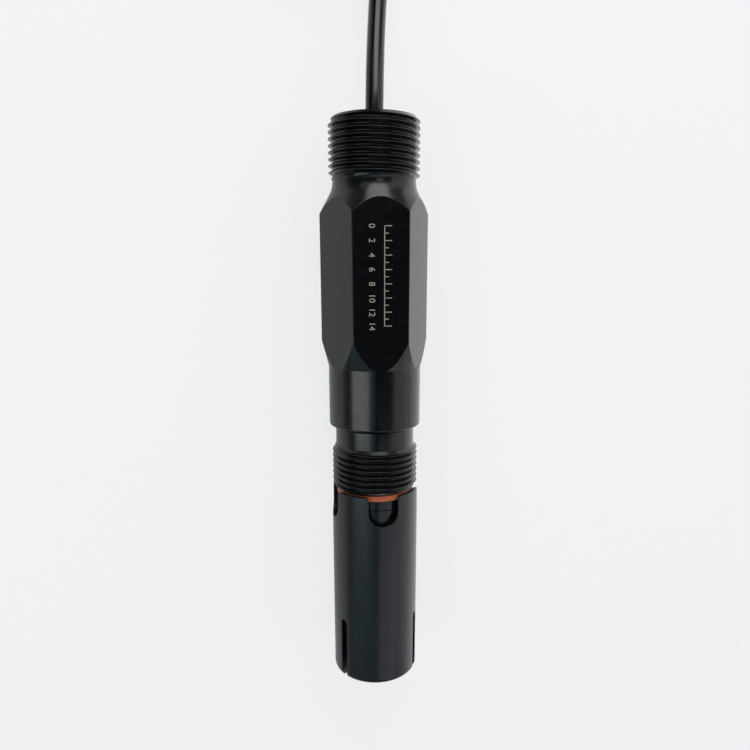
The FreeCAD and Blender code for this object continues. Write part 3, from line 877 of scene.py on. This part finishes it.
@dataclass
class Guard:
    """The cup over the glass, notched at its rim and slotted at its end."""

    axis: Axis
    rim: float = 108.9
    end: float = 172.1
    outside: float = 13.5
    bore: float = 11.65
    mouth: float = 12.25
    mouth_end: float = 110.9
    wall: float = 2.5
    floor_chamfer: float = 0.6
    edge: float = 1.8
    ease: float = 0.22
    notch_width: float = 9.1
    notch_depth: float = 9.4
    flare: float = 0.9
    first_notch: float = 4.2
    first_slot: float = 64.2
    slot_width: float = 2.3
    slot_length: float = 19.5
    slot_foot: float = 4.5
    notch_foot: float = 2.0
    cutter_top: float = 16.0

    def build(self) -> Object:
        """Turn the cup, cut its notches and slots and ease its edges.

        Returns:
            The finished piece.
        """
        inside = self.end - self.wall
        outline = [(self.mouth_end, self.bore), (self.mouth_end, self.mouth)]
        outline += [(self.rim, self.mouth), (self.rim, self.outside)]
        corner = (self.end - self.edge, self.outside - self.edge)
        outline += arc(corner, self.edge, 90, 0, 8)
        outline += [(self.end, 0.0), (inside, 0.0), (inside, self.bore - self.floor_chamfer)]
        outline += [(inside - self.floor_chamfer, self.bore)]
        cup = spun("guard_cup", self.axis, outline)
        notch = prism("notch", self.axis, self.notch(), self.notch_foot, self.cutter_top)
        slot = prism("slot", self.axis, self.slot(), self.slot_foot, self.cutter_top)
        notches = [copied(notch, self.axis.turned(self.first_notch + 90 * i)) for i in range(4)]
        slots = [copied(slot, self.axis.turned(self.first_slot + 120 * i)) for i in range(3)]
        for spare in (notch, slot):
            bpy.data.objects.remove(spare)
        cut(cup, joined("openings", notches + slots))
        tidy(cup, 0.01)
        ease_edges(cup, self.ease, 40.0, segments=3)
        smooth(cup, 40.0)
        return cup

    def notch(self) -> Outline:
        """Draw a notch seen from above: a flared mouth and a round bottom.

        Returns:
            Its corners as (x, station).
        """
        half = self.notch_width / 2
        wide = half + self.flare
        straight = self.rim + self.notch_depth - half
        mouth = self.rim + self.flare
        outline = [(-wide, self.rim - 1.0), (wide, self.rim - 1.0)]
        outline += arc((wide, mouth), self.flare, -90, -180, 5)
        outline += arc((0.0, straight), half, 0, 180, 24)
        outline += arc((-wide, mouth), self.flare, 0, -90, 5)
        return outline

    def slot(self) -> Outline:
        """Draw a slot seen from above: a round head, and open through the end.

        Returns:
            Its corners as (x, station).
        """
        half = self.slot_width / 2
        outline = [(half, self.end + 1.0), (-half, self.end + 1.0)]
        outline += arc((0.0, self.end - self.slot_length), half, 180, 360, 12)
        return outline


@dataclass
class Electrode:
    """The glass stem and its thin bulb."""

    axis: Axis
    top: float = 62.1
    stem: float = 5.5
    bore: float = 4.7
    bulb: float = 5.8
    bulb_inside: float = 5.2
    middle: float = 152.3
    chords: int = 24  # along the bulb's section

    def build(self) -> Object:
        """Blow the glass as one closed wall.

        Returns:
            The finished piece.
        """
        outer = self.curve(self.bulb, self.stem)
        inner = self.curve(self.bulb_inside, self.bore)
        outline = [*reversed(inner), (self.top, self.bore), (self.top, self.stem), *outer]
        glass = spun("glass", self.axis, outline, closed=False, steps=64)
        smooth(glass, 40.0)
        return glass

    def curve(self, radius: float, stem: float) -> Outline:
        """The bulb's half section, from where it leaves the stem to its tip."""
        start = 180 - math.degrees(math.asin(stem / radius))
        return arc((self.middle, 0.0), radius, start, 0, self.chords)


@dataclass
class SealingRing:
    """The soft orange ring under the lower thread."""

    axis: Axis
    top: float = 108.7
    height: float = 1.9
    inside: float = 11.33
    outside: float = 11.95
    round_off: float = 0.28

    def build(self) -> Object:
        """Turn the ring with its rounded rims.

        Returns:
            The finished piece.
        """
        low, high = self.top + self.round_off, self.top + self.height - self.round_off
        out = self.outside - self.round_off
        outline = [(self.top, self.inside)]
        outline += arc((low, out), self.round_off, 180, 90, 4)
        outline += arc((high, out), self.round_off, 90, 0, 4)
        outline += [(self.top + self.height, self.inside)]
        ring = spun("orange_ring", self.axis, outline)
        smooth(ring)
        return ring


@dataclass
class GlandNut:
    """The hollow screw in the top, with four key holes."""

    axis: Axis
    top: float = 0.8
    end: float = 7.5
    outside: float = 8.45
    bore: float = 3.05
    flare: float = 1.4
    chamfer: float = 0.5
    key_radius: float = 1.1
    key_depth: float = 2.0

    def build(self) -> Object:
        """Turn the nut, drill its key holes and ease its edges.

        Returns:
            The finished piece.
        """
        mouth = self.bore + self.flare
        low = self.top + self.flare
        outline = [(self.top, self.outside - self.chamfer)]
        outline += [(self.top + self.chamfer, self.outside), (self.end, self.outside)]
        outline += [(self.end, self.bore), (low, self.bore)]
        outline += arc((low, mouth), self.flare, 270, 180, 6)[1:]
        nut = spun("gland_screw", self.axis, outline, steps=96)
        middle = (self.outside + mouth) / 2
        for angle in (45.0, 135.0, 225.0, 315.0):
            place = self.axis.point(self.top, middle, angle)
            cut(nut, drill(place, self.key_radius, 2 * self.key_depth, 24))
        tidy(nut, 0.005)
        ease_edges(nut, 0.12, 35.0)
        smooth(nut, 40.0)
        return nut


@dataclass
class ScalePrint:
    """A plain scale from 0 to 14, printed in pale ink on the upper flat."""

    axis: Axis
    first: float = 30.0
    step: float = 1.95
    highest: int = 14
    plane: float = 13.9
    thickness: float = 0.012
    letter: float = 2.5
    stroke: float = 0.22
    ticks: Pair = (2.1, 1.2)
    line_x: float = 1.0
    numbers_x: float = -2.6

    def build(self) -> Object:
        """Draw the ticks and set the numbers beside them.

        Returns:
            The print as one thin mesh that lies on the flat.
        """
        clear_selection()
        bpy.ops.mesh.primitive_cube_add(size=1, location=(0, 0, 0))
        ticks = bpy.context.object
        edit(ticks)
        length = self.step * self.highest
        middle = self.first + length / 2
        self.shape_block(self.line_x, middle, self.stroke, length + self.stroke)
        for mark in range(self.highest + 1):
            reach = self.ticks[mark % 2]
            bpy.ops.mesh.select_all(action="DESELECT")
            bpy.ops.mesh.primitive_cube_add(size=1, location=(0, 0, 0))
            station = self.first + self.step * mark
            self.shape_block(self.line_x + reach / 2, station, reach, self.stroke)
        to_object_mode()
        numbers = [self.number(mark) for mark in range(0, self.highest + 1, 2)]
        ink = joined("scale_print", [ticks, *numbers])
        tidy(ink)
        return ink

    def shape_block(self, x: float, station: float, across: float, along: float) -> None:
        """Size and place the selected block of ink.

        Args:
            x: its middle across the flat, in millimetres.
            station: its middle along the axis.
            across: its width, in millimetres.
            along: its length along the axis, in millimetres.
        """
        bpy.ops.transform.resize(value=(across * MM, along * MM, self.thickness * MM))
        place = self.axis.point(station, self.plane) + Vector((x * MM, 0, 0))
        bpy.ops.transform.translate(value=place)

    def number(self, mark: int) -> Object:
        """Set one number of the scale, turned to read down the sensor.

        Args:
            mark: the number.

        Returns:
            Its letters as a thin mesh, beside their tick.
        """
        clear_selection()
        bpy.ops.object.text_add(location=(0, 0, 0))
        text = bpy.context.object
        text.data.body = str(mark)
        text.data.size = self.letter * MM
        text.data.align_x = "CENTER"
        text.data.align_y = "CENTER"
        text.data.extrude = self.thickness * MM / 2
        text.data.resolution_u = 4
        bpy.ops.object.convert(target="MESH")
        place = self.axis.point(self.first + self.step * mark, self.plane)
        place.x += self.numbers_x * MM
        turn = Matrix.Rotation(math.radians(-90), 4, "Z")
        text.data.transform(Matrix.Translation(place) @ turn)
        return text


# The cable


@dataclass
class Cable:
    """The 5 m cable: its run out of the gland, its tied hank and its bare end."""

    axis: Axis
    diameter: float = 5.2
    length: float = 5000.0
    columns: int = 3
    layers: int = 5
    pitch: float = 5.25
    fold: float = 15.6
    straight: float = 100.0
    side_x: float = 13.2
    near_fold: float = 95.0
    points: int = 12
    last_shift: float = 0.965
    first_shift: float = 0.12

    def build(self) -> Object:
        """Lay the whole cable as one smooth spline.

        Returns:
            The cable as a round curve.
        """
        low = self.diameter / 2
        # x, distance past the rim and height: out of the gland, down, then to the hank
        route = [(0.0, -19.5, 14.0), (0.0, 7.0, 14.0), (2.4, 33.0, 3.6), (3.6, 44.0, low)]
        route += [(self.side_x, 65.0, low), (self.side_x, 77.0, low)]
        points = [self.table_point(*point) for point in route]
        points += self.hank()
        inner, top = self.side_x - 2 * self.pitch, self.layer(self.layers - 1)
        tail_x, tail_z = self.side_x - self.pitch, top + low + 3.25
        tail = [(inner, 4.2, top), (inner, 10.0, top), (inner, 21.0, tail_z - 0.3)]
        tail += [(tail_x, 33.0, tail_z), (tail_x, 42.0, tail_z)]
        points += [self.table_point(x, self.near_fold + past, z) for x, past, z in tail]
        curve = bpy.data.curves.new("cable", "CURVE")
        curve.dimensions = "3D"
        spline = curve.splines.new("NURBS")
        spline.points.add(len(points) - 1)
        for knot, point in zip(spline.points, points):
            knot.co = (*point, 1.0)
        spline.order_u = 3
        spline.use_endpoint_u = True
        curve.resolution_u = 4
        curve.bevel_depth = low * MM
        curve.bevel_resolution = 6
        curve.use_fill_caps = True
        cable = bpy.data.objects.new("cable", curve)
        bpy.context.scene.collection.objects.link(cable)
        return cable

    def table_point(self, x: float, past_rim: float, z: float) -> Vector:
        """A point of the cable's route, from its distance past the rim."""
        return Vector((x * MM, self.axis.top + past_rim * MM, z * MM))

    def layer(self, number: float) -> float:
        """The height of a layer's centre line over the table."""
        return self.diameter / 2 + self.pitch * number

    def place_of(self, turn: int) -> Pair:
        """How far in and how far up a turn starts, counted in turns."""
        layer, step = divmod(turn, self.columns)
        return (self.columns - 1 - step if layer % 2 else step, layer)

    def hank(self) -> list[Vector]:
        """The hank's points. Each turn moves over where its neighbours do too.

        Returns:
            The control points, from the end of the run to the start of the tail.
        """
        zone = (self.last_shift - self.first_shift) / (2 * self.layers - 1)
        points = []
        for turn in range(self.columns * self.layers - 1):
            layer, step = divmod(turn, self.columns)
            climbs = step == self.columns - 1
            start = self.last_shift - zone * (2 * layer + (2 if climbs else 1))
            here, there = self.place_of(turn), self.place_of(turn + 1)
            for side in range(4):
                for number in range(self.points):
                    along, part = self.share(side, (number + 0.5) / self.points)
                    moved = min(max((part - start) / zone, 0.0), 1.0)
                    inwards = here[0] + (there[0] - here[0]) * moved
                    height = here[1] + (there[1] - here[1]) * moved
                    points.append(self.hank_point(side, along, inwards, height))
        return points

    def share(self, side: int, along: float) -> Pair:
        """Where a point lies in its side and in its whole turn, both as shares.

        Args:
            side: 0 for the side in line with the run, 1 for the far fold, and so on.
            along: how far along that side.

        Returns:
            The share of the side and the share of the turn.
        """
        middle = self.fold + self.pitch * (self.columns - 1) / 2
        straight, bend = self.straight, math.pi * middle
        before = (side + 1) // 2 * straight + side // 2 * bend
        length = bend if side % 2 else straight
        return along, (before + along * length) / (2 * (straight + bend))

    def hank_point(self, side: int, along: float, inwards: float, height: float) -> Vector:
        """A control point of the hank, a little outside on the folds.

        Args:
            side: the side of the hank.
            along: how far along it, as a share.
            inwards: how many turns it lies inside the outer one.
            height: how many layers it lies over the lowest.

        Returns:
            The point.
        """
        outer = self.fold + self.pitch * (self.columns - 1)
        radius = outer - self.pitch * inwards
        middle = self.side_x - outer
        far_fold = self.near_fold + self.straight
        if side % 2 == 0:
            x = middle + (radius if side == 0 else -radius)
            run = self.straight * (along if side == 0 else 1 - along)
            return self.table_point(x, self.near_fold + run, self.layer(height))
        turn = math.pi * (along + (0 if side == 1 else 1))
        swell = radius / math.cos(math.pi / self.points / 2)
        fold = far_fold if side == 1 else self.near_fold
        place = (middle + swell * math.cos(turn), fold + swell * math.sin(turn))
        return self.table_point(*place, self.layer(height))


# The studio


@dataclass
class Lamp:
    """A soft box, by where it stands as seen from the sensor."""

    name: str
    lean: float  # degrees from straight up towards +X
    tip: float  # degrees from there towards the guard's end
    across: float  # metres across
    along: float  # metres along the sensor
    radiance: float
    colour: str = "#ffffff"
    distance: float = 0.8  # metres

    def build(self, target: Vector) -> None:
        """Hang the lamp, turned to the sensor.

        Args:
            target: the point that it faces.
        """
        data = bpy.data.lights.new(self.name, "AREA")
        data.shape = "RECTANGLE"
        data.size = self.across
        data.size_y = self.along
        data.energy = self.radiance * math.pi * self.across * self.along
        data.color = linear(self.colour)[:3]
        lamp = bpy.data.objects.new(self.name, data)
        bpy.context.scene.collection.objects.link(lamp)
        lean, tip = math.radians(self.lean), math.radians(self.tip)
        level = math.cos(tip)
        back = Vector((math.sin(lean) * level, -math.sin(tip), math.cos(lean) * level))
        side = Vector((0, 1, 0)).cross(back).normalized()
        turned = Matrix((side, back.cross(side), back)).transposed().to_4x4()
        lamp.matrix_world = Matrix.Translation(target + back * self.distance) @ turned
        lamp.visible_camera = False


@dataclass
class Studio:
    """The table, the lamps, the surroundings and the camera."""

    axis: Axis
    distance: float = 201.92
    turn: float = -7.663
    station: float = 40.338
    pitch: float = 12.888
    roll: float = 0.123
    focal: float = 662.85
    centre: Pair = (374.68, 416.23)
    aim: float = 80.0
    table_size: float = 8.0  # metres
    table_gap: float = 0.00005  # metres, so that the sensor rests on it and not in it
    white_share: float = 0.76
    # painted glow of the table that only reflections see: the half width in metres over which it
    # changes across the axis, and its strength on the -X and +X sides
    glow_edge: float = 0.02
    glow_left: float = 0.2
    glow_right: float = 0.7

    def build(self) -> None:
        """Set up everything that isn't the sensor."""
        target = self.axis.point(self.aim)
        lamps = [
            Lamp("softbox_left", -38.0, 15.0, 0.88, 0.9, 0.56, "#b4e0ee"),
            Lamp("softbox_core", -43.0, 10.5, 0.62, 0.2, 2.4, "#fffdf4"),
            Lamp("panel_right", 64.0, 0.0, 1.05, 2.0, 0.85, "#f6f6ff", 1.2),
            Lamp("panel_foot", 23.0, 35.0, 0.55, 0.5, 0.95, "#f0f0ff", 0.85),
            Lamp("panel_head", 7.0, -55.0, 0.54, 0.5, 3.0),
            Lamp("panel_head_wide", 6.0, -50.0, 1.3, 0.45, 0.55),
            Lamp("strip_head", 8.0, -24.0, 0.22, 0.16, 1.6, "#f0f0ff"),
        ]
        for lamp in lamps:
            lamp.build(target)
        self.table()
        self.surroundings()
        self.camera()
        bpy.context.scene.view_settings.view_transform = "Standard"

    def table(self) -> None:
        """A pale matt table that keeps the sensor's shadow, and glows with painted light in
        reflections, more towards +X than towards -X.
        """
        clear_selection()
        low = (0, 0, -self.table_gap)
        bpy.ops.mesh.primitive_plane_add(size=self.table_size, location=low)
        table = bpy.context.object
        table.name = table.data.name = "table"
        made = bpy.data.materials.new("matt_white_table_painted_glow")
        made.use_nodes = True
        made.node_tree.nodes.clear()
        node = partial(add_node, made.node_tree)
        path = node("LightPath").outputs
        matt = node("BsdfDiffuse", {"Color": linear("#e6e7e8")}).outputs[0]
        seen = {0: path["Is Camera Ray"], 1: self.white_share}
        whitened = node("Math", seen, operation="MULTIPLY").outputs[0]
        kept = node("MixShader", {0: whitened, 1: matt}).outputs[0]
        # Painted light: in reflections the table glows, dimly towards -X and brightly towards +X,
        # in place of the light that the lamps would throw on it.
        place = node("TexCoord").outputs["Object"]
        across = node("SeparateXYZ", {0: place}).outputs["X"]
        side = {"Value": across, "From Min": -self.glow_edge, "From Max": self.glow_edge}
        side |= {"To Min": self.glow_left, "To Max": self.glow_right}
        painted_side_glow = node("MapRange", side).outputs["Result"]
        both = {0: path["Is Glossy Ray"], 1: path["Is Transmission Ray"]}
        rays = node("Math", both, operation="ADD", use_clamp=True).outputs[0]
        shown = node("Math", {0: painted_side_glow, 1: rays}, operation="MULTIPLY").outputs[0]
        strength = node("Math", {0: shown, 1: whitened}, operation="ADD").outputs[0]
        glow = node("Emission", {"Strength": strength}).outputs[0]
        table_top = node("AddShader", {0: kept, 1: glow}).outputs[0]
        node("OutputMaterial", {"Surface": table_top})
        table.data.materials.append(made)
        table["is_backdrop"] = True

    def surroundings(self) -> None:
        """A dim ceiling, pale walls, and white behind all that the camera sees."""
        world = bpy.data.worlds.new("studio")
        bpy.context.scene.world = world
        world.use_nodes = True
        world.node_tree.nodes.clear()
        node = partial(add_node, world.node_tree)
        direction = node("TexCoord").outputs["Generated"]
        height = node("SeparateXYZ", {0: direction}).outputs["Z"]
        ramp = node("ValToRGB", {"Fac": height})
        ends = ((0.0, "#8f9499"), (0.45, "#1c1f2a"))
        for element, (position, colour) in zip(ramp.color_ramp.elements, ends):
            element.position, element.color = position, linear(colour)
        room = node("Background", {"Color": ramp.outputs["Color"], "Strength": 1.0})
        white = node("Background", {"Color": (1, 1, 1, 1), "Strength": 1.0})
        seen = node("LightPath").outputs["Is Camera Ray"]
        mixed = node("MixShader", {0: seen, 1: room.outputs[0], 2: white.outputs[0]})
        node("OutputWorld", {"Surface": mixed.outputs[0]})

    def camera(self) -> None:
        """The camera at the photograph's place, worked out from the picture's size."""
        data = bpy.data.cameras.new("camera")
        data.sensor_width = FILM_WIDTH
        data.lens = FILM_WIDTH * self.focal / PICTURE
        data.shift_x = (PICTURE / 2 - self.centre[0]) / PICTURE
        data.shift_y = (self.centre[1] - PICTURE / 2) / PICTURE
        data.clip_start = 0.01
        data.clip_end = 20.0
        turn, pitch = math.radians(self.turn), math.radians(self.pitch)
        across = Vector((-math.sin(turn), 0, -math.cos(turn)))
        down = Vector((0, -1, 0))
        forward = across * math.cos(pitch) + down * math.sin(pitch)
        up = across * math.sin(pitch) - down * math.cos(pitch)
        up.rotate(Matrix.Rotation(math.radians(self.roll), 3, forward))
        right = forward.cross(up)
        camera = bpy.data.objects.new("camera", data)
        bpy.context.scene.collection.objects.link(camera)
        place = self.axis.point(self.station) - across * self.distance * MM
        turned = Matrix((right, up, -forward)).transposed().to_4x4()
        camera.matrix_world = Matrix.Translation(place) @ turned
        bpy.context.scene.camera = camera


# Putting it together


def hand_over(piece: Object, body: str, *nodes: str) -> None:
    """Let a piece ride on a body in place of CAD nodes, and report it.

    Args:
        piece: the finished piece.
        body: the body that it moves with.
        *nodes: the CAD nodes that it stands for.
    """
    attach(piece, body)
    if nodes:
        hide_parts(*nodes)
    log.info("%s rides on %s and stands for %s", piece.name, body, ", ".join(nodes) or "itself")


def corners() -> list[list[float]]:
    """The whole object's lowest and highest corner, as plain lists."""
    return [list(corner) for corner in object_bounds()]


def main() -> None:
    """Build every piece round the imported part, in order."""
    logging.basicConfig(level=logging.INFO, format="%(message)s")
    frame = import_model()
    nodes = frame["nodes"]
    low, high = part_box("guard")
    axis = Axis(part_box("body_housing")[1].y, (low.z + high.z) / 2)
    wardrobe = Wardrobe()
    Studio(axis).build()

    cable = Cable(axis)
    cord = cable.build()
    wardrobe.dress(cord, "cable_jacket")
    hand_over(cord, "sensor", "cable_run", "cable_hank", "cable_tail")
    on_cable = ["hank_tie_near", "hank_tie_far", "end_sleeve", "core_red", "core_black"]
    on_cable += ["core_green", "core_white", "core_ferrules"]

    pieces = [
        (Housing(axis), "housing_plastic", "sensor", "body_housing"),
        (Holder(axis), "holder_plastic", "sensor", "electrode_holder"),
        (Guard(axis), "guard_plastic", "guard", "guard"),
        (SealingRing(axis), "ring_rubber", "sensor", "sealing_ring"),
        (Electrode(axis), "electrode_glass", "sensor", "electrode_glass"),
        (GlandNut(axis), "gland_plastic", "sensor", "gland_nut"),
    ]
    for maker, slot, body, node in pieces:
        piece = maker.build()
        wardrobe.dress(piece, slot)
        hand_over(piece, body, node)
    print_on_flat = ScalePrint(axis).build()
    wardrobe.wear(print_on_flat, INK)
    hand_over(print_on_flat, "sensor")

    slots = {part["node"]: part["material_slot"] for part in frame["record"]["subparts"]}
    for name, node in nodes.items():
        if not node.hide_render:
            wardrobe.dress(node, slots[name])
    to_object_mode()


if __name__ == "__main__":
    main()
